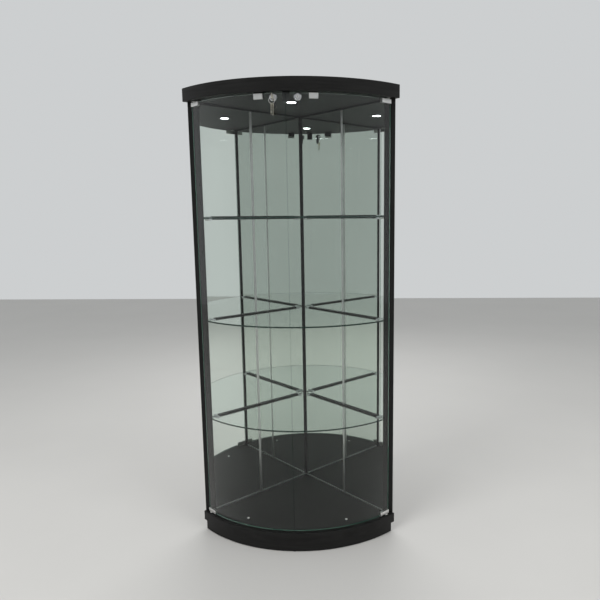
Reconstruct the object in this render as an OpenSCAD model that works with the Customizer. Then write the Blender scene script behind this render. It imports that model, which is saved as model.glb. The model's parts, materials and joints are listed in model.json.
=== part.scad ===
// Curved-front corner curio cabinet: mirrored back walls, glass shelves, two bowed
// glass doors on pivots, a lit canopy and a plinth base.
//
// Plan layout: the two mirror faces meet at the inner corner, and everything is set out
// from that corner. On each wall, a runs along the wall from the inner corner and b runs
// square to it, into the cabinet. The front faces -Y and +Z is up.

/* [Overall] */
// Height from the floor to the top of the canopy
cabinet_h = 1800; // [1400:10:2200]
// Radius of the deck's front edge, from the inner corner of the mirrors
deck_r = 550; // [440:1:680]
// Height of the deck's top face above the floor
base_h = 76; // [60:1:120]
// Height of the canopy
canopy_h = 49; // [44:1:80]

/* [Walls] */
// Thickness of the back panels
panel_t = 18; // [12:1:25]
// Thickness of the mirrors
mirror_t = 4; // [3:0.5:6]
// Thickness of the posts, front to back
post_t = 12; // [8:0.5:24]
// Distance from the inner corner to the mirror joint strips
strip_a = 267; // [150:1:350]
// Width of a mirror joint strip
strip_w = 11; // [6:1:30]
// Leg of the trim in the mirror corner
corner_leg = 9; // [5:1:14]
// Height of the channels under the mirrors
channel_h = 5; // [3:0.5:12]
// Height of the trims over the mirrors
head_trim_h = 7; // [3:0.5:15]

/* [Base] */
// Thickness of the deck board
deck_t = 38; // [18:1:45]
// Thickness of the plinth boards
plinth_t = 18; // [14:1:25]
// Setback of the plinth from the walls
plinth_set = 19; // [5:0.5:30]
// Thickness of the floor glides
glide_t = 3; // [2:0.5:6]
// Radius of the floor glides
glide_r = 7.5; // [5:0.5:8.5]
// Radius of the caps on the deck
cap_r = 5; // [3:0.5:8]
// Distance of each deck cap from the inner corner
cap_reach = 474; // [380:1:500]
// Angle of each deck cap from straight ahead
cap_turn = 25.4; // [15:0.1:35]

/* [Canopy] */
// How far the canopy's front stands ahead of the deck's
canopy_front_over = 1; // [0:1:60]
// How far each canopy end stands past the deck's end
canopy_end_over = 12; // [8:1:40]
// Thickness of the curved fascia
fascia_t = 15; // [9:1:18]
// Thickness of the canopy's top board
top_t = 15; // [9:1:18]
// Thickness of the ceiling board
ceiling_t = 12; // [9:1:16]

/* [Light] */
// Distance of the lamp from the inner corner
lamp_reach = 338; // [200:1:450]
// Radius of the lamp's bezel
bezel_r = 30; // [26:0.5:45]
// Radius of the lamp's lens
lens_r = 18; // [15:0.5:23.5]

/* [Shelves] */
// How far the shelves' front edge stands behind the deck's edge
shelf_set = 37; // [34:1:150]
// Thickness of the glass shelves
shelf_t = 6; // [4:0.5:10]
// Height from the deck to the first shelf, and between shelves
shelf_pitch = 413; // [250:1:430]
// Gap between a shelf and the mirrors
shelf_gap = 4; // [3:0.1:8]
// Radius of the shelf clamps
clamp_r = 8.5; // [6:0.5:12]
// Length of the shelf clamps
clamp_len = 16; // [10:1:25]
// Height of the channel along the back of each shelf
rail_h = 14; // [10:0.5:24]
// Depth of that channel, measured out from the mirror
rail_w = 9; // [6:0.5:14]

/* [Doors] */
// Gap from the deck's front edge back to the door's outer face
door_set = 16; // [12:1:40]
// Thickness of the door glass
glass_t = 6; // [5:0.5:8]
// Gap between the doors
door_gap = 3; // [2:0.5:6]
// Gap under each door, above the deck
foot_gap = 5; // [3.5:0.5:8]
// Gap over each door, below the canopy
head_gap = 5; // [3.5:0.5:8]
// Distance of the pivots from the plane of the mirror
pivot_b = 9.7; // [6:0.1:20]
// Distance of the pivots from the outer end of the glass
pivot_in = 12; // [9:0.5:20]
// Radius of the pivot pins
pin_r = 3; // [2:0.25:4]
// Thickness of the hinge blocks
hinge_t = 12; // [10:0.5:17]
// Length of the hinge blocks, from the end of the glass
hinge_len = 48; // [24:1:60]
// Height of the hinge blocks
hinge_h = 15; // [12:1:40]

/* [Locks and catches] */
// Distance of each lock from the middle of the front
lock_off = 43; // [34:1:60]
// Depth of the lock's centre below the door's top
lock_drop = 14; // [13:1:40]
// Radius of the lock's flange
lock_r = 13.5; // [11:0.5:16]
// Radius of the lock's plug
plug_r = 6.45; // [5:0.05:7]
// Distance of each catch from the middle of the front
catch_off = 99; // [85:1:200]
// Width of the strike plates
strike_w = 33; // [20:1:60]
// Height of the strike plates
strike_h = 18; // [12:1:40]
// Width of the catches
catch_w = 30; // [24:1:50]
// Height of the catches
catch_h = 18; // [14:1:30]

/* [Hidden] */
$fn = 72;

// Clearances
run_fit = 0.05;      // a pin or plug that turns in its bore
hole_fit = 0.1;      // a shank that passes through glass
post_gap = 1.2;      // between the posts and the turning ends of the doors
edge_cut = 1.5;      // small chamfer on the visible board edges
smooth = 180;        // sides of the widest arcs

// Levels
deck_z = base_h;
ceiling_z = cabinet_h - canopy_h;
cavity_z = ceiling_z + ceiling_t;
top_board_z = cabinet_h - top_t;
plinth_top = base_h - deck_t;
door_z = deck_z + foot_gap;
door_top = ceiling_z - head_gap;
lock_z = door_top - lock_drop;

// Doors
door_r = deck_r - door_set;
door_mid = door_r - glass_t / 2;
door_in = door_r - glass_t;
pivot_turn = 45 - asin(pivot_b / door_mid);
end_turn = pivot_turn + pivot_in / door_mid * 180 / PI;
meet_turn = asin(door_gap / 2 / door_mid);
lock_turn = asin(lock_off / door_mid);
catch_turn = asin(catch_off / door_mid);
hinge_lip = 1;                             // hinge metal over the top and bottom edges of the glass
hinge_end = 0.5;                           // hinge metal past the end of the glass
hinge_foot = door_z - hinge_lip;
hinge_head = door_top + hinge_lip;
swing_r = norm([pivot_in + hinge_end, hinge_t / 2]);
pin_len = 13;
bush_len = 14;
bush_wall = 3;
bush_flange_t = 1.2;
bush_flange_r = pin_r + 5;

// Plan
wall_off = panel_t + mirror_t;             // wall side of the back, behind the mirror plane
post_front = door_mid * cos(pivot_turn) - swing_r - post_gap;
post_rear = post_front - post_t;           // the mirrors end here, at the back of the posts
mirror_len = post_rear * sqrt(2);
plinth_off = wall_off - plinth_set;
canopy_front = deck_r + canopy_front_over;
canopy_end = deck_r + canopy_end_over;
rear_reach = wall_off * sqrt(2);           // room corner, behind the inner corner

// Canopy arc: through the middle of the front and both end corners, centred on the middle plane
end_x = (canopy_end + wall_off) / sqrt(2);
end_y = (canopy_end - wall_off) / sqrt(2);
arc_back = (pow(canopy_front, 2) - pow(end_x, 2) - pow(end_y, 2)) / (2 * (canopy_front - end_y));
arc_r = canopy_front - arc_back;
arc_ab = arc_back / sqrt(2);               // the arc's centre along a and along b

// Lock, measured outwards from the middle of the glass
shank_r = plug_r + 2.95;
lock_face = glass_t / 2 + 8.5;
shank_back = -(glass_t / 2 + 10);
nut_t = 4.7;
nut_r = shank_r + 2.6;
flange_seat = glass_t / 2 + 0.1;
nut_seat = -(glass_t / 2 + 0.3);
cam_t = 2.5;
cam_w = 12;
cam_front = shank_back - 2.5;
keyway_w = 2.2;
keyway_h = 8;

// Key and ring
key_t = 2;
blade_h = 7.4;
blade_tip = 5.5;                           // behind the middle of the glass
keyway_end = blade_tip + 0.5;
bow_r = 11;
bow_y = lock_face + 14.5;
ring_y = bow_y + 3;
bow_hole_r = 4.5;
ring_r = 11;
wire_r = 0.9;
ring_hang = bow_hole_r - wire_r - 0.4;     // the wire lies low in the hole
ring_foot = -ring_hang - 2 * ring_r;

// Spare keys, one each side of the ring's foot; the ring curves up a little inside their holes
spare_x = 3.4;
spare_t = 1.8;
spare_hole_r = 3.6;
ring_rise = ring_r - sqrt(pow(ring_r, 2) - pow(spare_x + spare_t / 2, 2));
spare_slack = spare_hole_r - wire_r - ring_rise - 0.4;

// The key stands furthest forward; the origin lies under the middle of the whole
key_front = (door_mid + bow_y + bow_r) * cos(lock_turn) + key_t / 2 * sin(lock_turn);
y_mid = (max(canopy_front, key_front) - rear_reach) / 2;

// Catches
catch_len = 15;
strike_t = 1.2;
catch_gap = 0.7;
magnet_w = catch_w - 6;
magnet_h = 11;
magnet_t = 5;
magnet_out = 0.6;                          // how far the magnet stands out of its body
magnet_face = door_in - strike_t - catch_gap;

// The keeper hangs in the middle, between the cams and the glass
keeper_w = 26;
keeper_t = 7;
keeper_h = 32;
keeper_gap = 3;
cam_len = lock_off - keeper_w / 2 + 6;     // each cam reaches 6 behind the keeper

// Fasteners
screw_r = 2;
head_r = 4;
screw_len = 30;
stud_r = 2.5;

// Palette
black_board = [0.13, 0.13, 0.125];
deck_black = [0.17, 0.17, 0.165];
trim_black = [0.08, 0.08, 0.08];
silver = [0.78, 0.78, 0.77];
bright = [0.86, 0.87, 0.88];
mirror_grey = [0.75, 0.79, 0.77];
clear_green = [0.62, 0.78, 0.70, 0.35];
screw_tint = [0.6, 0.58, 0.5];

// ---------- frames of reference ----------

// Everything is set out from the inner corner, then moved so the origin is under the plan's middle
module placed() { translate([0, y_mid, 0]) children(); }

// a and b of a wall become X and Y
module left_wall() { rotate([0, 0, 225]) children(); }
module right_wall() { mirror([1, 0, 0]) left_wall() children(); }
module both_walls() { left_wall() children(); right_wall() children(); }

// A place on an arc about the inner corner, turned left from straight ahead; -Y points outwards
module on_arc(reach, turn) { rotate([0, 0, -turn]) translate([0, -reach, 0]) children(); }

// The right-hand twin of a left-hand piece
module handed(side) {
    if (side == "left") children();
    else mirror([1, 0, 0]) children();
}

// ---------- shared shapes ----------

module block(a0, a1, b0, b1, z0, z1) { translate([a0, b0, z0]) cube([a1 - a0, b1 - b0, z1 - z0]); }

// A round bar that runs outwards, from one distance to another
module rod(from, to, r) { translate([0, -from, 0]) rotate([90, 0, 0]) cylinder(r = r, h = to - from); }

module cone_rod(from, to, r1, r2) {
    translate([0, -from, 0]) rotate([90, 0, 0]) cylinder(r1 = r1, r2 = r2, h = to - from);
}

// Part of a ring about the inner corner, from one turn to another, on the left of the front
module ring_part(r0, r1, turn0, turn1, z0, z1) {
    translate([0, 0, z0]) rotate([0, 0, 270 - turn1])
        rotate_extrude(angle = turn1 - turn0, $fn = smooth) translate([r0, 0]) square([r1 - r0, z1 - z0]);
}

// Section of a board edge between two levels, chamfered at the top
module edge_section(x0, r, z0, z1) {
    polygon([[x0, z0], [r, z0], [r, z1 - edge_cut], [r - edge_cut, z1], [x0, z1]]);
}

// Board that fills the corner: a quarter disc with margins along both walls,
// its top edge chamfered along the arc and both ends
module edged_corner_board(r, off, z0, z1) {
    rotate_extrude(angle = 90, $fn = smooth) edge_section(0, r, z0, z1);
    rotate([90, 0, 0]) linear_extrude(off) edge_section(-off, r, z0, z1);
    translate([-off, 0, 0]) rotate([90, 0, 90]) linear_extrude(off) edge_section(-off, r, z0, z1);
}

// Outline under the canopy's arc, drawn in by an inset
module canopy_outline(inset) {
    intersection() {
        translate([arc_ab, arc_ab]) circle(arc_r - inset, $fn = smooth);
        translate([-wall_off, -wall_off]) square(2 * arc_r);
    }
}

// Outline of a wall piece between two distances from the mirror plane, mitred to the back of the post
module wall_outline(a0, b0, b1) {
    polygon([[a0, b0], [mirror_len - b0, b0], [mirror_len - b1, b1], [a0, b1]]);
}

// Chamfer cutter for a circular edge; up is 1 for a top edge and -1 for a bottom edge
module rim_cutter(r, z, up) {
    translate([0, 0, z]) rotate_extrude()
        polygon([[r - edge_cut, up], [r + 1, up], [r + 1, -up * (edge_cut + 1)], [r - edge_cut, 0]]);
}

// A wood screw that points up, head at the bottom
module wood_screw(len) {
    cylinder(r1 = head_r, r2 = screw_r, h = head_r - screw_r);
    cylinder(r = screw_r, h = len);
}

// ---------- places of repeated pieces ----------

panel_mid = -mirror_t - panel_t / 2;
post_mid = (post_front + post_rear) / 2;
post_screw = post_mid + wall_off * sqrt(2) / 2;   // X of the screws in the posts

// Screws through the deck and the ceiling: three into each back panel and one into each post
module at_panel_screws() {
    left_wall() for (share = [0.12, 0.5, 0.88]) translate([mirror_len * share, panel_mid, 0]) children();
    right_wall() for (share = [0.12, 0.5, 0.88]) translate([mirror_len * share, panel_mid, 0]) children();
    for (x = [-post_screw, post_screw]) translate([x, -post_mid, 0]) children();
}

module screws_up(len) { at_panel_screws() translate([0, 0, plinth_top]) wood_screw(len); }
module screws_down(len) { at_panel_screws() translate([0, 0, cavity_z]) mirror([0, 0, 1]) wood_screw(len); }

joint_screw_z = [for (i = [0:3]) deck_z + (ceiling_z - deck_z) * (i + 0.5) / 4];

module back_screw_set() {
    left_wall() for (z = joint_screw_z)
        translate([-wall_off, panel_mid, z]) rotate([0, 90, 0]) wood_screw(panel_t + screw_len);
}

function shelf_top(i) = deck_z + i * shelf_pitch;
clamp_a = [40, mirror_len - 20];

// Both clamps of one shelf on one wall; +Z points away from the mirror
module at_clamps(i) {
    for (a = clamp_a)
        translate([a, 0, shelf_top(i) - shelf_t / 2 - 2]) rotate([-90, 0, 0]) children();
}

module clamp_studs() {
    for (i = [1:3]) at_clamps(i) translate([0, 0, -wall_off + 2]) cylinder(r = stud_r, h = wall_off - 2);
}

// ---------- base ----------

module base_deck() {
    color(deck_black) placed() difference() {
        left_wall() edged_corner_board(deck_r, wall_off, plinth_top, deck_z);
        for (s = ["left", "right"]) handed(s) on_arc(door_mid, pivot_turn)
            translate([0, 0, deck_z - bush_len]) cylinder(r = pin_r + bush_wall, h = bush_len + 1);
        screws_up(deck_t + 1);
        for (s = ["left", "right"]) handed(s) on_arc(cap_reach, cap_turn)
            translate([0, 0, deck_z - 8]) cylinder(r = cap_r * 0.6, h = 9);
    }
}

module front_plinth() {
    color(black_board) placed() left_wall() translate([0, 0, glide_t])
        linear_extrude(plinth_top - glide_t) intersection() {
            difference() { circle(deck_r, $fn = smooth); circle(deck_r - plinth_t, $fn = smooth); }
            translate([-plinth_off, -plinth_off]) square(2 * deck_r);
        }
}

rail_end = deck_r - plinth_t - 1.5;

module left_plinth_rail() {
    color(black_board) placed() left_wall()
        block(-plinth_off, rail_end, -plinth_off, plinth_t - plinth_off, glide_t, plinth_top);
}

module right_plinth_rail() {
    color(black_board) placed() right_wall()
        block(plinth_t - plinth_off, rail_end, -plinth_off, plinth_t - plinth_off, glide_t, plinth_top);
}

module floor_glides() {
    rail_mid = plinth_t / 2 - plinth_off;
    color([0.25, 0.25, 0.25]) placed() {
        for (turn = [-36, 0, 36]) on_arc(deck_r - plinth_t / 2, turn) cylinder(r = glide_r, h = glide_t);
        left_wall() translate([rail_mid, rail_mid, 0]) cylinder(r = glide_r, h = glide_t);
        both_walls() translate([rail_end - 3 * glide_r, rail_mid, 0]) cylinder(r = glide_r, h = glide_t);
    }
}

module deck_caps() {
    color(bright) placed() for (s = ["left", "right"]) handed(s) on_arc(cap_reach, cap_turn) {
        translate([0, 0, deck_z - 8]) cylinder(r = cap_r * 0.6, h = 8);
        translate([0, 0, deck_z]) cylinder(r = cap_r, h = 1);
        translate([0, 0, deck_z + 1]) cylinder(r1 = cap_r, r2 = cap_r * 0.5, h = 1);
    }
}

// ---------- back ----------

module back_panel(side, a0) {
    color(black_board) placed() difference() {
        handed(side) left_wall() difference() {
            translate([0, 0, deck_z]) linear_extrude(ceiling_z - deck_z)
                wall_outline(a0, -wall_off, -mirror_t);
            clamp_studs();
        }
        screws_up(deck_t + screw_len);
        screws_down(ceiling_t + screw_len);
        back_screw_set();
    }
}

module left_back_panel() { back_panel("left", -mirror_t); }
module right_back_panel() { back_panel("right", -wall_off); }

channel_t = 1.2;
mirror_z = deck_z + channel_t;
mirror_top = ceiling_z - channel_t;
strip_z = deck_z + channel_h;
strip_top = ceiling_z - head_trim_h;
stem_t = 1;

// The two panes of one wall, with the joint strip's stem between them
module mirrors(side, a0) {
    color(mirror_grey) placed() handed(side) left_wall() difference() {
        union() {
            block(a0, strip_a - stem_t / 2, -mirror_t, 0, mirror_z, mirror_top);
            translate([0, 0, mirror_z]) linear_extrude(mirror_top - mirror_z)
                wall_outline(strip_a + stem_t / 2, -mirror_t, 0);
        }
        clamp_studs();
    }
}

module left_mirrors() { mirrors("left", 0); }
module right_mirrors() { mirrors("right", -mirror_t); }

strip_t = 0.8;
bead_r = 1.6;

module mirror_strip(side) {
    h = strip_top - strip_z;
    color(silver) placed() handed(side) left_wall() {
        block(strip_a - strip_w / 2, strip_a + strip_w / 2, 0, strip_t, strip_z, strip_top);
        block(strip_a - stem_t / 2, strip_a + stem_t / 2, -mirror_t, strip_t, strip_z, strip_top);
        translate([strip_a, strip_t, strip_z]) intersection() {
            cylinder(r = bead_r, h = h);
            translate([-bead_r, 0, 0]) cube([2 * bead_r, bead_r, h]);
        }
    }
}

module left_mirror_strip() { mirror_strip("left"); }
module right_mirror_strip() { mirror_strip("right"); }

module mirror_corner_trim() {
    color(trim_black) placed() left_wall()
        translate([0, 0, strip_z]) linear_extrude(strip_top - strip_z)
            polygon([[0, 0], [corner_leg, 0], [corner_leg, 1.2], [2.5, 1.2], [1.2, 2.5], [1.2, corner_leg],
                     [0, corner_leg]]);
}

// Angle along one wall: a lip in front of the mirror and a flange across the mirror's edge
module edge_angle(lip_z0, lip_z1, flange_z) {
    translate([0, 0, lip_z0]) linear_extrude(lip_z1 - lip_z0) wall_outline(channel_t * 1.5, 0, channel_t);
    translate([0, 0, flange_z]) linear_extrude(channel_t)
        wall_outline(channel_t * 1.5, -mirror_t, channel_t);
}

module mirror_foot_channels() {
    color(silver) placed() both_walls() edge_angle(deck_z, strip_z, deck_z);
}

module mirror_head_trims() {
    color(trim_black) placed() both_walls() edge_angle(strip_top, ceiling_z, mirror_top);
}

// A thin upright board that faces the front; its outer end lies on the wall
module post(side) {
    c = edge_cut / 2;
    color(black_board) placed() difference() {
        handed(side) translate([0, 0, deck_z]) linear_extrude(ceiling_z - deck_z)
            polygon([[-post_rear, -post_rear], [-post_rear, c - post_front], [-post_rear - c, -post_front],
                     [-post_front - rear_reach, -post_front], [-post_rear - rear_reach, -post_rear]]);
        screws_up(deck_t + screw_len);
        screws_down(ceiling_t + screw_len);
    }
}

module left_post() { post("left"); }
module right_post() { post("right"); }

module panel_screws() {
    color(screw_tint) placed() {
        screws_up(deck_t + screw_len - 1);
        screws_down(ceiling_t + screw_len - 1);
    }
}

module back_joint_screws() {
    color(screw_tint) placed() back_screw_set();
}

// ---------- canopy ----------

module canopy_fascia() {
    color(black_board) placed() left_wall() difference() {
        translate([0, 0, ceiling_z]) linear_extrude(canopy_h) difference() {
            canopy_outline(0);
            translate([arc_ab, arc_ab]) circle(arc_r - fascia_t, $fn = smooth);
        }
        translate([arc_ab, arc_ab, 0]) {
            rim_cutter(arc_r, cabinet_h, 1);
            rim_cutter(arc_r, ceiling_z, -1);
        }
    }
}

inlet_reach = 45;
inlet_r = 7;

module canopy_top() {
    color(black_board) placed() difference() {
        left_wall() translate([0, 0, top_board_z]) linear_extrude(top_t) canopy_outline(fascia_t);
        on_arc(inlet_reach, 0) translate([0, 0, top_board_z - 1]) cylinder(r = inlet_r, h = top_t + 2);
    }
}

can_r = bezel_r - 3.5;
bezel_t = 2;
can_h = 20;

module canopy_ceiling() {
    color(deck_black) placed() difference() {
        left_wall() translate([0, 0, ceiling_z]) linear_extrude(ceiling_t) canopy_outline(fascia_t);
        on_arc(lamp_reach, 0) translate([0, 0, ceiling_z - 1]) cylinder(r = can_r + 0.3, h = ceiling_t + 2);
        for (s = ["left", "right"]) handed(s) on_arc(door_mid, pivot_turn)
            translate([0, 0, ceiling_z - 1]) cylinder(r = pin_r + bush_wall, h = ceiling_t + 2);
        screws_down(ceiling_t + 1);
    }
}

batten_w = 28;

// One batten runs into the rear corner, and the other butts against it
module batten(a0) {
    translate([0, 0, cavity_z]) linear_extrude(top_board_z - cavity_z) intersection() {
        canopy_outline(fascia_t);
        translate([a0, -wall_off]) square([2 * arc_r, batten_w]);
    }
}

module canopy_battens() {
    color(black_board) placed() {
        left_wall() batten(-wall_off);
        right_wall() batten(batten_w - wall_off);
    }
}

// ---------- light ----------

module lamp_housing() {
    color(silver) placed() on_arc(lamp_reach, 0) difference() {
        union() {
            translate([0, 0, ceiling_z - bezel_t]) cylinder(r1 = bezel_r - 1, r2 = bezel_r, h = bezel_t);
            translate([0, 0, ceiling_z]) cylinder(r = can_r, h = can_h);
        }
        translate([0, 0, ceiling_z - bezel_t - 1]) cylinder(r = lens_r, h = can_h + bezel_t - 1);
    }
}

module lamp_lens() {
    color([1, 1, 0.98]) placed() on_arc(lamp_reach, 0)
        translate([0, 0, ceiling_z - bezel_t + 0.6]) cylinder(r = lens_r - 0.1, h = 2.4);
}

module lamp_board() {
    led_n = 6;
    color([0.9, 0.9, 0.85]) placed() on_arc(lamp_reach, 0) translate([0, 0, ceiling_z + can_h - 5]) {
        cylinder(r = lens_r - 1, h = 1.6);
        for (i = [0:led_n - 1]) rotate([0, 0, i * 360 / led_n])
            translate([lens_r * 0.5 - 1.75, -1.75, -1.2]) cube([3.5, 3.5, 1.4]);
    }
}

driver_len = 110;
driver_w = 45;
driver_h = min(14, top_board_z - cavity_z - 1);
driver_reach = lamp_reach * 0.68;

module lamp_driver() {
    color([0.9, 0.9, 0.9]) placed() on_arc(driver_reach, 0) {
        translate([-driver_len / 2, -driver_w / 2, cavity_z]) cube([driver_len, driver_w, driver_h]);
        for (x = [-1, 1]) translate([x * driver_len / 2 - 6, -driver_w / 4, cavity_z])
            cube([12, driver_w / 2, 2]);
    }
}

// A round wire along level points: an eight-sided tube swept from ring to ring
wire_sides = 8;
function heading(p, i) = let (q = p[min(i + 1, len(p) - 1)] - p[max(i - 1, 0)]) q / norm(q);
function wire_ring(p, i, r) = let (h = heading(p, i))
    [for (k = [0:wire_sides - 1]) let (t = 360 * k / wire_sides)
        p[i] + r * (cos(t) * [-h[1], h[0], 0] + sin(t) * [0, 0, 1])];

module wire(p, r) {
    n = len(p);
    m = wire_sides;
    polyhedron(
        points = [for (i = [0:n - 1]) each wire_ring(p, i, r)],
        faces = concat(
            [[for (k = [0:m - 1]) k]],
            [for (i = [0:n - 2], k = [0:m - 1])
                [i * m + k, (i + 1) * m + k, (i + 1) * m + (k + 1) % m, i * m + (k + 1) % m]],
            [[for (k = [m - 1:-1:0]) (n - 1) * m + k]]));
}

// A wire that weaves once between two reaches on the middle line
function weave(from, to, sway, z) = [for (i = [0:14]) let (t = i / 14) [sway * sin(360 * t) * sin(180 * t),
    -(from + (to - from) * t), z]];

module lamp_wiring() {
    z = cavity_z + driver_h / 2;
    color([0.85, 0.85, 0.83]) placed() {
        wire(weave(lamp_reach - can_r, driver_reach + driver_w / 2, 7, z), 1.4);
        wire(weave(driver_reach - driver_w / 2, inlet_reach + inlet_r, 9, z), 1.8);
    }
}

module power_inlet() {
    color(trim_black) placed() on_arc(inlet_reach, 0) difference() {
        translate([0, 0, cavity_z + 1]) cylinder(r = inlet_r, h = cabinet_h - cavity_z - 1);
        translate([0, 0, cabinet_h - 11]) cylinder(r = 2.75, h = 12);
    }
}

// ---------- shelves ----------

shelf_r = deck_r - shelf_set;
shelf_side = post_rear - 3;               // X where each front corner is cut square

module shelf_outline() {
    corner_clip = corner_leg + 8;
    difference() {
        intersection() {
            circle(shelf_r, $fn = smooth);
            translate([shelf_gap, shelf_gap]) square(shelf_r);
            rotate([0, 0, -45]) translate([-shelf_side, 0]) square([2 * shelf_side, shelf_r]);
        }
        polygon([[0, 0], [corner_clip, 0], [0, corner_clip]]);
    }
}

module shelf(i) {
    color(clear_green) placed() left_wall()
        translate([0, 0, shelf_top(i) - shelf_t]) linear_extrude(shelf_t) shelf_outline();
}

module bottom_shelf() { shelf(1); }
module middle_shelf() { shelf(2); }
module top_shelf() { shelf(3); }

module shelf_clamps(i) {
    slot = shelf_t + 0.2;
    color(bright) placed() both_walls() {
        difference() {
            at_clamps(i) cylinder(r = clamp_r, h = clamp_len);
            block(0, mirror_len, shelf_gap - 0.2, clamp_len + 1,
                  shelf_top(i) - shelf_t / 2 - slot / 2, shelf_top(i) - shelf_t / 2 + slot / 2);
        }
        at_clamps(i) translate([0, 0, -wall_off + 2]) cylinder(r = stud_r, h = wall_off - 2);
    }
}

module bottom_shelf_clamps() { shelf_clamps(1); }
module middle_shelf_clamps() { shelf_clamps(2); }
module top_shelf_clamps() { shelf_clamps(3); }

// A channel along each wall grips the back edge of each shelf between its clamps,
// notched behind to pass over the mirror strip
module shelf_back_rails() {
    slot = shelf_t + 0.2;
    gap = 0.5;
    a0 = clamp_a[0] + clamp_r + gap;
    a1 = clamp_a[1] - clamp_r - gap;
    color(trim_black) placed() both_walls() for (i = [1:3]) {
        mid = shelf_top(i) - shelf_t / 2;
        difference() {
            block(a0, a1, 0, rail_w, mid - rail_h / 2, mid + rail_h / 2);
            block(a0 - 1, a1 + 1, shelf_gap - 0.2, rail_w + 1, mid - slot / 2, mid + slot / 2);
            block(strip_a - strip_w / 2 - gap, strip_a + strip_w / 2 + gap, -1,
                  strip_t + bead_r + 0.3, mid - rail_h, mid + rail_h);
        }
    }
}

// A small clear block on the inner edge of each post holds the front corner of each shelf
module shelf_corner_blocks() {
    len = 12;
    lip = 1.5;
    gap = 0.1;
    color([0.85, 0.9, 0.88, 0.5]) placed() for (s = ["left", "right"], i = [1:3]) handed(s) difference() {
        translate([-post_rear, -post_front + 0.5, shelf_top(i) - shelf_t - lip])
            cube([len, post_t - 1, shelf_t + 2 * lip]);
        translate([-shelf_side - gap, -post_front - 1, shelf_top(i) - shelf_t - gap])
            cube([len + 3, post_t + 2, shelf_t + 2 * gap]);
    }
}

// ---------- door hardware on the cabinet ----------

module pivot_bushes() {
    color([0.85, 0.85, 0.82]) placed() for (s = ["left", "right"]) handed(s) on_arc(door_mid, pivot_turn) {
        difference() {
            union() {
                translate([0, 0, deck_z - bush_len]) cylinder(r = pin_r + bush_wall, h = bush_len);
                translate([0, 0, deck_z]) cylinder(r = bush_flange_r, h = bush_flange_t);
            }
            translate([0, 0, deck_z - pin_len - 0.5]) cylinder(r = pin_r + run_fit, h = pin_len + 5);
        }
        difference() {
            union() {
                translate([0, 0, ceiling_z]) cylinder(r = pin_r + bush_wall, h = ceiling_t);
                translate([0, 0, ceiling_z - bush_flange_t]) cylinder(r = bush_flange_r, h = bush_flange_t);
            }
            translate([0, 0, ceiling_z - 5]) cylinder(r = pin_r + run_fit, h = ceiling_t + 10);
        }
    }
}

// Pocket and magnet of a catch, grown by a clearance on every side but the back
module magnet_block(grow, out) {
    translate([-magnet_w / 2 - grow, -magnet_face - out, ceiling_z - (catch_h + magnet_h) / 2 - grow])
        cube([magnet_w + 2 * grow, magnet_t + out, magnet_h + 2 * grow]);
}

module catch_body(side) {
    front = magnet_face - magnet_out;
    color(trim_black) placed() handed(side) on_arc(0, catch_turn) difference() {
        union() {
            translate([-catch_w / 2, -front, ceiling_z - catch_h]) cube([catch_w, catch_len, catch_h]);
            translate([-catch_w / 2 - 7, 3 - front, ceiling_z - 2]) cube([catch_w + 14, catch_len - 3, 2]);
        }
        magnet_block(hole_fit, 1);
    }
}

module left_catch_body() { catch_body("left"); }
module right_catch_body() { catch_body("right"); }

module catch_magnet(side) { color(silver) placed() handed(side) on_arc(0, catch_turn) magnet_block(0, 0); }

module left_catch_magnet() { catch_magnet("left"); }
module right_catch_magnet() { catch_magnet("right"); }

module lock_keeper() {
    back = door_mid + cam_front + keeper_gap;
    color(silver) placed() {
        translate([-keeper_w / 2, -back - keeper_t, ceiling_z - keeper_h])
            cube([keeper_w, keeper_t, keeper_h]);
        translate([-keeper_w / 2, -back - keeper_t, ceiling_z - 2]) cube([keeper_w, keeper_t + 16, 2]);
    }
}

// ---------- doors ----------

// The glass has a notch for the lock, open at the top
module door_shape() {
    r = shank_r + hole_fit;
    difference() {
        ring_part(door_in, door_r, meet_turn, end_turn, door_z, door_top);
        on_arc(door_mid, lock_turn) translate([0, 0, lock_z]) {
            rod(-glass_t, glass_t, r);
            translate([-r, -glass_t, 0]) cube([2 * r, 2 * glass_t, lock_drop + 1]);
        }
    }
}

module door_glass(side) { color(clear_green) placed() handed(side) door_shape(); }

module left_door_glass() { door_glass("left"); }
module right_door_glass() { door_glass("right"); }

// Clamping block around a corner of the glass
module hinge_block(z0, z1) {
    back = -pivot_in - hinge_end;
    translate([back, -hinge_t / 2, z0]) cube([hinge_len + hinge_end, hinge_t, z1 - z0]);
}

module door_hinges(side) {
    color(silver) placed() handed(side) {
        difference() {
            on_arc(door_mid, pivot_turn) {
                hinge_block(hinge_foot, hinge_foot + hinge_h);
                hinge_block(hinge_head - hinge_h, hinge_head);
            }
            door_shape();
        }
        on_arc(door_mid, pivot_turn) {
            translate([0, 0, deck_z - pin_len]) cylinder(r = pin_r, h = pin_len + hinge_foot - deck_z);
            translate([0, 0, hinge_head]) cylinder(r = pin_r, h = cavity_z - 1 - hinge_head);
        }
    }
}

module left_door_hinges() { door_hinges("left"); }
module right_door_hinges() { door_hinges("right"); }

module strike_plate(side) {
    half = asin(strike_w / 2 / door_mid);
    color(bright) placed() handed(side) difference() {
        ring_part(door_in - strike_t, door_r + strike_t, catch_turn - half, catch_turn + half,
                  door_top - strike_h, door_top + strike_t);
        door_shape();
    }
}

module left_strike_plate() { strike_plate("left"); }
module right_strike_plate() { strike_plate("right"); }

// ---------- locks ----------

module at_lock(side) {
    placed() handed(side) on_arc(door_mid, lock_turn) translate([0, 0, lock_z]) children();
}

module lock_body(side) {
    color(bright) at_lock(side) difference() {
        union() {
            rod(flange_seat, lock_face - 1.5, lock_r);
            cone_rod(lock_face - 1.5, lock_face, lock_r, lock_r - 2.5);
            rod(shank_back, flange_seat, shank_r);
        }
        rod(shank_back - 1, lock_face + 1, plug_r + run_fit);
    }
}

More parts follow.
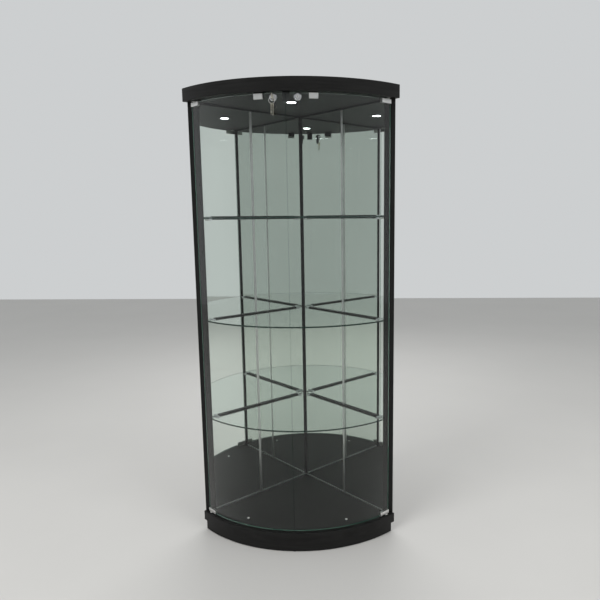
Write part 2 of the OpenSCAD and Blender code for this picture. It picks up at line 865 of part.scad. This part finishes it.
module left_lock_body() { lock_body("left"); }
module right_lock_body() { lock_body("right"); }

module lock_nut(side) {
    color(silver) at_lock(side) difference() {
        translate([0, -nut_seat, 0]) rotate([-90, 0, 0]) cylinder(r = nut_r, h = nut_t, $fn = 6);
        rod(nut_seat - nut_t - 1, nut_seat + 1, shank_r);
    }
}

module left_lock_nut() { lock_nut("left"); }
module right_lock_nut() { lock_nut("right"); }

module lock_plug(side) {
    color(silver) at_lock(side) difference() {
        rod(cam_front, lock_face - 0.3, plug_r);
        translate([-keyway_w / 2, -lock_face - 1, -keyway_h / 2])
            cube([keyway_w, lock_face + 1 + keyway_end, keyway_h]);
    }
}

module left_lock_plug() { lock_plug("left"); }
module right_lock_plug() { lock_plug("right"); }

// The cam hangs down when unlocked, and turns towards the middle of the front
module lock_cam(side) {
    tip = cam_len - cam_w / 2;
    color([0.7, 0.7, 0.7]) at_lock(side) {
        rod(cam_front - cam_t, cam_front, cam_w / 2);
        translate([0, 0, -tip]) rod(cam_front - cam_t, cam_front, cam_w / 2);
        translate([-cam_w / 2, -cam_front, -tip]) cube([cam_w, cam_t, tip]);
    }
}

module left_lock_cam() { lock_cam("left"); }
module right_lock_cam() { lock_cam("right"); }

module lock_key() {
    color(bright) at_lock("left") difference() {
        union() {
            translate([0, -bow_y, 0]) rotate([0, 90, 0]) translate([0, 0, -key_t / 2])
                cylinder(r = bow_r, h = key_t);
            translate([-key_t / 2, -bow_y + bow_r / 2, -blade_h / 2])
                cube([key_t, bow_y - bow_r / 2 + blade_tip, blade_h]);
        }
        translate([0, -ring_y, 0]) rotate([0, 90, 0]) translate([0, 0, -key_t])
            cylinder(r = bow_hole_r, h = 2 * key_t);
    }
}

module key_ring() {
    color(silver) at_lock("left") translate([0, -ring_y, -ring_hang - ring_r])
        rotate([90, 0, 0]) rotate_extrude() translate([ring_r, 0]) circle(wire_r);
}

// One spare key, hanging from the middle of its hole
module spare_key(len) {
    t = spare_t;
    bow = 9.5;
    drop = 4.5;
    rotate([0, 90, 0]) translate([0, 0, -t / 2]) difference() {
        translate([drop, 0, 0]) cylinder(r = bow, h = t);
        translate([0, 0, -1]) cylinder(r = spare_hole_r, h = t + 2);
    }
    translate([-t / 2, -3.2, -drop - bow - len]) cube([t, 6.4, len + 1.5]);
}

module spare_keys() {
    for (k = [0:1]) color(k == 0 ? silver : [0.75, 0.66, 0.4]) at_lock("left")
        translate([k == 0 ? -spare_x : spare_x, -ring_y, ring_foot - spare_slack]) rotate([0, 0, 25])
            spare_key(22 + 3 * k);
}

// ---------- assembly ----------

base_deck();
front_plinth();
left_plinth_rail();
right_plinth_rail();
floor_glides();
deck_caps();
left_back_panel();
right_back_panel();
left_mirrors();
right_mirrors();
left_mirror_strip();
right_mirror_strip();
mirror_corner_trim();
mirror_foot_channels();
mirror_head_trims();
left_post();
right_post();
panel_screws();
back_joint_screws();
canopy_top();
canopy_fascia();
canopy_ceiling();
canopy_battens();
lamp_housing();
lamp_board();
lamp_lens();
lamp_driver();
lamp_wiring();
power_inlet();
bottom_shelf();
middle_shelf();
top_shelf();
bottom_shelf_clamps();
middle_shelf_clamps();
top_shelf_clamps();
shelf_back_rails();
shelf_corner_blocks();
pivot_bushes();
left_catch_body();
right_catch_body();
left_catch_magnet();
right_catch_magnet();
lock_keeper();
left_door_glass();
left_door_hinges();
left_strike_plate();
left_lock_body();
left_lock_nut();
right_door_glass();
right_door_hinges();
right_strike_plate();
right_lock_body();
right_lock_nut();
left_lock_plug();
left_lock_cam();
lock_key();
right_lock_plug();
right_lock_cam();
key_ring();
spare_keys();
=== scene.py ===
"""Looks of the curio cabinet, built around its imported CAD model. Metres, +Z up, front towards -Y."""

import json
import math

import bpy
from mathutils import Matrix, Vector


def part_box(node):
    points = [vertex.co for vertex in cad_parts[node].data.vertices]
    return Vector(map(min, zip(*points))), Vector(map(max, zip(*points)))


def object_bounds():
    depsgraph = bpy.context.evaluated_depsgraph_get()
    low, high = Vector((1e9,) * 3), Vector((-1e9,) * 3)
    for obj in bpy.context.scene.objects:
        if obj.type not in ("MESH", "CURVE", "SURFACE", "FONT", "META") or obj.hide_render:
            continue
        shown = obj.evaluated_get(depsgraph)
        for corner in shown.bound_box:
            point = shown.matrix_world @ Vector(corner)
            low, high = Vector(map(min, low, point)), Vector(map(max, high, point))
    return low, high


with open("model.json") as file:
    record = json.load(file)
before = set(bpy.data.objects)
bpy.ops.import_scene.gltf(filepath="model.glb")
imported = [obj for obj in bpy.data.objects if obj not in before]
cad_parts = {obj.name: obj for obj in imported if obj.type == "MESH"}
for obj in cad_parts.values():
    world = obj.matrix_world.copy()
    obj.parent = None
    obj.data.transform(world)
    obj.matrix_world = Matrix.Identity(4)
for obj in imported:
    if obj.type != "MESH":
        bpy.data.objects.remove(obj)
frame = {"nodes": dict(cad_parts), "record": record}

cad_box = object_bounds()
nodes = frame["nodes"]
slot_of = {s["node"]: s["material_slot"] for s in frame["record"]["subparts"]}


# ---------- camera ----------

def place_camera(at, yaw, pitch, roll, lens, shift):
    """A camera at a point, turned by yaw, pitched down and rolled, in degrees."""
    y, p, r = (math.radians(v) for v in (yaw, pitch, roll))
    ahead = Vector((math.sin(y) * math.cos(p), math.cos(y) * math.cos(p), -math.sin(p)))
    right = ahead.cross(Vector((0, 0, 1))).normalized()
    up = right.cross(ahead)
    right, up = (
        right * math.cos(r) + up * math.sin(r),
        up * math.cos(r) - right * math.sin(r),
    )
    data = bpy.data.cameras.new("camera")
    data.sensor_width, data.lens = 36.0, lens
    data.shift_x, data.shift_y = shift
    cam = bpy.data.objects.new("camera", data)
    turn = Matrix((right, up, -ahead)).transposed()
    cam.matrix_world = Matrix.Translation(at) @ turn.to_4x4()
    bpy.context.scene.collection.objects.link(cam)
    bpy.context.scene.camera = cam


place_camera(
    at=(0.25576, -2.41414, 1.31277), yaw=-2.457, pitch=9.03, roll=-0.525, lens=35.05, shift=(-0.056, 0.016)
)


# ---------- materials ----------

class Nodes:
    """A new material with one Principled shader, and short ways to add nodes to it."""

    def __init__(self, name, **values):
        self.mat = bpy.data.materials.new(name)
        self.mat.use_nodes = True
        self.tree = self.mat.node_tree
        self.shader = self.tree.nodes["Principled BSDF"]
        self.out = self.tree.nodes["Material Output"]
        self.coords = self.add("ShaderNodeTexCoord")
        for socket, value in values.items():
            self.shader.inputs[socket.replace("_", " ")].default_value = value

    def add(self, kind, **settings):
        node = self.tree.nodes.new(kind)
        for k, v in settings.items():
            setattr(node, k, v)
        return node

    def link(self, a, b):
        self.tree.links.new(a, b)

    def math(self, operation, a, b=None):
        node = self.add("ShaderNodeMath", operation=operation)
        for socket, value in zip(node.inputs, (a, b)):
            if value is None:
                continue
            if isinstance(value, (int, float)):
                socket.default_value = value
            else:
                self.link(value, socket)
        return node.outputs[0]

    def stretched(self, scale):
        """Object coordinates, stretched along the axes with a small scale."""
        place = self.add("ShaderNodeMapping")
        place.inputs["Scale"].default_value = scale
        self.link(self.coords.outputs["Object"], place.inputs["Vector"])
        return place.outputs["Vector"]

    def noise(self, vector, scale, detail=4.0, rough=0.55, warp=0.0):
        tex = self.add("ShaderNodeTexNoise")
        sockets = {"Scale": scale, "Detail": detail, "Roughness": rough, "Distortion": warp}
        for socket, value in sockets.items():
            tex.inputs[socket].default_value = value
        self.link(vector, tex.inputs["Vector"])
        return tex.outputs["Fac"]

    def ramp(self, fac, stops):
        node = self.add("ShaderNodeValToRGB")
        els = node.color_ramp.elements
        while len(els) < len(stops):
            els.new(0.5)
        for el, (at, colour) in zip(els, stops):
            el.position, el.color = at, colour
        self.link(fac, node.inputs["Fac"])
        return node.outputs["Color"]

    def span(self, fac, low, high):
        """Fac turned into a value between low and high."""
        node = self.add("ShaderNodeMapRange")
        node.inputs["To Min"].default_value = low
        node.inputs["To Max"].default_value = high
        self.link(fac, node.inputs["Value"])
        return node.outputs["Result"]

    def bump(self, height, strength, distance):
        node = self.add("ShaderNodeBump")
        node.inputs["Strength"].default_value = strength
        node.inputs["Distance"].default_value = distance
        self.link(height, node.inputs["Height"])
        self.link(node.outputs["Normal"], self.shader.inputs["Normal"])


WARM = (1.02, 1.0, 0.96)
GRAIN_DEPTH, MARK_DEPTH = 0.0006, 0.0002


def warm_grey(v):
    return (v * WARM[0], v * WARM[1], v * WARM[2], 1.0)


def tones(colour, low):
    """Ramp stops from a colour made darker by low up to the colour itself."""
    return [(0.3, tuple(c * low for c in colour) + (1.0,)), (0.7, tuple(colour) + (1.0,))]


def board(name, grain, dark, light, rough, press=0.35):
    """Melamine board with an open grain pressed in. Grain is the scale along each axis."""
    m = Nodes(name, Specular_IOR_Level=0.22)
    along = m.stretched(grain)
    bands = m.noise(along, 3.0, 5.0, 0.6, 0.6)
    pores = m.noise(along, 17.0, 3.0, 0.7)
    both = m.math("ADD", m.math("MULTIPLY", bands, 0.6), m.math("MULTIPLY", pores, 0.4))
    colour = m.ramp(both, [(0.36, warm_grey(dark)), (0.62, warm_grey(light))])
    m.link(colour, m.shader.inputs["Base Color"])
    m.link(m.span(pores, rough - 0.08, rough + 0.1), m.shader.inputs["Roughness"])
    m.bump(both, press, GRAIN_DEPTH)
    return m.mat


def metal(name, colour, rough, brush=(1.0, 1.0, 1.0)):
    """Metal with fine marks that run along the axis with a small brush scale."""
    m = Nodes(name, Metallic=1.0)
    marks = m.noise(m.stretched(brush), 260.0, 3.0, 0.6)
    cloud = m.noise(m.coords.outputs["Object"], 22.0, 2.0)
    m.link(m.ramp(cloud, tones(colour, 0.88)), m.shader.inputs["Base Color"])
    m.link(m.span(marks, rough * 0.75, rough * 1.35), m.shader.inputs["Roughness"])
    m.bump(marks, 0.05, MARK_DEPTH)
    return m.mat


def plastic(name, colour, rough):
    """Moulded plastic with a fine spark texture."""
    m = Nodes(name)
    spark = m.noise(m.coords.outputs["Object"], 420.0, 2.0)
    m.link(m.ramp(spark, tones(colour, 0.9)), m.shader.inputs["Base Color"])
    m.link(m.span(spark, rough - 0.06, rough + 0.06), m.shader.inputs["Roughness"])
    m.bump(spark, 0.12, MARK_DEPTH)
    return m.mat


SHEET_IOR, DOOR_IOR = 1.45, 1.3
FACE_END, EDGE_START = 0.35, 0.65


def clear(name, face, edge, edge_mask, rough=0.0, dark_edges=True, ior=SHEET_IOR):
    """Clear sheet that lets lamps through, in its edge colour where edge_mask is 1."""
    m = Nodes(name, Transmission_Weight=1.0, Roughness=rough, IOR=ior)
    fac = edge_mask(m)
    m.link(m.ramp(fac, [(FACE_END, face), (EDGE_START, edge)]), m.shader.inputs["Base Color"])
    if dark_edges:
        through = m.ramp(fac, [(FACE_END, (1, 1, 1, 1)), (EDGE_START, (0.12, 0.12, 0.12, 1))])
        m.link(through, m.shader.inputs["Transmission Weight"])
    passing = m.add("ShaderNodeBsdfTransparent")
    passing.inputs["Color"].default_value = face
    path = m.add("ShaderNodeLightPath")
    mix = m.add("ShaderNodeMixShader")
    m.link(path.outputs["Is Shadow Ray"], mix.inputs[0])
    m.link(m.shader.outputs["BSDF"], mix.inputs[1])
    m.link(passing.outputs["BSDF"], mix.inputs[2])
    m.link(mix.outputs["Shader"], m.out.inputs["Surface"])
    return m.mat


def side_faces(m):
    """1 on faces that stand upright: the ground edges of a level shelf."""
    split = m.add("ShaderNodeSeparateXYZ")
    m.link(m.coords.outputs["Normal"], split.inputs[0])
    return m.math("SUBTRACT", 1.0, m.math("ABSOLUTE", split.outputs["Z"]))


def rim_faces(centre_y):
    """1 on the faces of an upright curved pane that do not face its own axis."""
    def mask(m):
        shift = m.add("ShaderNodeVectorMath", operation="MULTIPLY_ADD")
        shift.inputs[1].default_value = (1, 1, 0)
        shift.inputs[2].default_value = (0, -centre_y, 0)
        m.link(m.coords.outputs["Object"], shift.inputs[0])
        unit = m.add("ShaderNodeVectorMath", operation="NORMALIZE")
        m.link(shift.outputs["Vector"], unit.inputs[0])
        dot = m.add("ShaderNodeVectorMath", operation="DOT_PRODUCT")
        m.link(unit.outputs["Vector"], dot.inputs[0])
        m.link(m.coords.outputs["Normal"], dot.inputs[1])
        return m.math("SUBTRACT", 1.0, m.math("ABSOLUTE", dot.outputs["Value"]))
    return mask


def silvered():
    """Mirror silver, slightly green and very slightly uneven."""
    m = Nodes("mirror_silver", Metallic=1.0)
    cloud = m.noise(m.coords.outputs["Object"], 2.2, 2.0)
    m.link(
        m.ramp(cloud, [(0.2, (0.74, 0.79, 0.75, 1)), (0.8, (0.78, 0.83, 0.79, 1))]),
        m.shader.inputs["Base Color"],
    )
    m.link(m.span(cloud, 0.004, 0.012), m.shader.inputs["Roughness"])
    return m.mat


def glowing():
    """The lit face of the lamp."""
    m = Nodes("lamp_glow", Roughness=0.4, Emission_Strength=14.0)
    dots = m.noise(m.coords.outputs["Object"], 90.0, 1.0)
    m.link(
        m.ramp(dots, [(0.3, (0.86, 0.88, 1.0, 1)), (0.7, (1.0, 1.0, 1.0, 1))]),
        m.shader.inputs["Emission Color"],
    )
    return m.mat


# The curved doors are centred on the inner mirror corner.
axis_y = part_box("mirror_corner_trim")[1][1]

LEVEL, UPRIGHT = (3.0, 3.0, 60.0), (45.0, 45.0, 1.6)
BLACK = {"dark": 0.0035, "light": 0.0105, "rough": 0.5}
finish = {
    "black_board": board("black_board_level", LEVEL, **BLACK),
    "deck_board": board("deck_board_grain", (1.2, 15.0, 15.0), 0.004, 0.011, 0.52, 0.05),
    "mirror": silvered(),
    "door_glass": clear(
        "door_glass_clear", (0.985, 1.0, 0.99, 1), (0.05, 0.14, 0.10, 1), rim_faces(axis_y), ior=DOOR_IOR
    ),
    "shelf_glass": clear(
        "shelf_glass_clear", (0.97, 1.0, 0.985, 1), (0.010, 0.030, 0.022, 1), side_faces
    ),
    "clear_plastic": clear(
        "corner_block_clear", (0.95, 0.98, 0.96, 1), (0.75, 0.82, 0.78, 1), side_faces, 0.08, False
    ),
    "aluminium": metal("aluminium_satin", (0.72, 0.73, 0.72), 0.30, (1, 1, 0.05)),
    "chrome": metal("chrome_bright", (0.58, 0.59, 0.60), 0.09),
    "satin_steel": metal("steel_satin", (0.90, 0.90, 0.88), 0.42, (0.08, 1, 1)),
    "zinc_screw": metal("screw_zinc", (0.62, 0.56, 0.40), 0.34),
    "black_zinc": metal("zinc_black", (0.06, 0.06, 0.06), 0.36),
    "black_plastic": plastic("plastic_black", (0.012, 0.012, 0.012), 0.42),
    "white_plastic": plastic("plastic_white", (0.72, 0.72, 0.69), 0.4),
    "grey_plastic": plastic("plastic_grey", (0.06, 0.06, 0.06), 0.5),
    "acetal": plastic("acetal_natural", (0.70, 0.70, 0.66), 0.3),
    "led_board": plastic("led_board_white", (0.78, 0.78, 0.72), 0.35),
    "lamp_diffuser": glowing(),
    "wire": plastic("wire_sheath", (0.62, 0.62, 0.60), 0.5),
    "key_metal": metal("key_nickel", (0.70, 0.66, 0.54), 0.26),
}
upright = board("black_board_upright", UPRIGHT, **BLACK)

for name, obj in nodes.items():
    slot = slot_of[name]
    stands = slot == "black_board" and ("post" in name or "back_panel" in name)
    obj.data.materials.clear()
    obj.data.materials.append(upright if stands else finish[slot])


# ---------- floor and light ----------

def plain(name, colour, rough):
    """An even matt surface with a faint cloud."""
    m = Nodes(name)
    cloud = m.noise(m.coords.outputs["Object"], 1.4, 3.0)
    m.link(m.ramp(cloud, tones(colour, 0.97)), m.shader.inputs["Base Color"])
    m.shader.inputs["Roughness"].default_value = rough
    return m.mat


FLOOR_WIDTH = 14
bpy.ops.mesh.primitive_plane_add(size=FLOOR_WIDTH, location=(0, 0, cad_box[0].z))
floor = bpy.context.object
floor.name = "floor"
floor.data.materials.append(plain("floor_pale", (0.56, 0.55, 0.53), 0.6))


def softbox(name, at, to, size, power):
    """A square area light that is not itself seen in gloss or through glass."""
    data = bpy.data.lights.new(name, "AREA")
    data.shape, data.size, data.energy = "SQUARE", size, power
    lamp = bpy.data.objects.new(name, data)
    lamp.location = at
    lamp.visible_glossy = False
    lamp.visible_transmission = False
    lamp.rotation_mode = "QUATERNION"
    lamp.rotation_quaternion = (Vector(to) - Vector(at)).to_track_quat("-Z", "Y")
    bpy.context.scene.collection.objects.link(lamp)


# Half the height of the cabinet, where the lights aim
MIDDLE = (0, 0, 0.9)
softbox("key_light", (-2.2, -2.6, 3.2), MIDDLE, 2.2, 85)
softbox("fill_light", (2.6, -2.0, 2.4), MIDDLE, 2.4, 45)
softbox("back_light", (0.0, 2.4, 3.0), MIDDLE, 2.4, 45)

world = bpy.data.worlds.new("studio")
world.use_nodes = True
tree = world.node_tree
sky = tree.nodes["Background"]
sky.inputs["Color"].default_value = (0.80, 0.82, 0.83, 1)

# The room is dimmer in front of the cabinet, which keeps its panes clear and its boards black.
facing = tree.nodes.new("ShaderNodeTexCoord")
split = tree.nodes.new("ShaderNodeSeparateXYZ")
level = tree.nodes.new("ShaderNodeMapRange")
level.interpolation_type = "SMOOTHSTEP"
for socket, value in (("From Min", -0.95), ("From Max", -0.25), ("To Min", 0.56), ("To Max", 0.76)):
    level.inputs[socket].default_value = value
tree.links.new(facing.outputs["Generated"], split.inputs[0])
tree.links.new(split.outputs["Y"], level.inputs["Value"])
tree.links.new(level.outputs["Result"], sky.inputs["Strength"])
bpy.context.scene.world = world
bpy.context.scene.view_settings.view_transform = "Standard"

# Two mirrors behind several panes need longer light paths than the defaults give.
cycles = bpy.context.scene.cycles
cycles.max_bounces = 28
cycles.transmission_bounces = 24
cycles.glossy_bounces = 10
cycles.transparent_max_bounces = 32
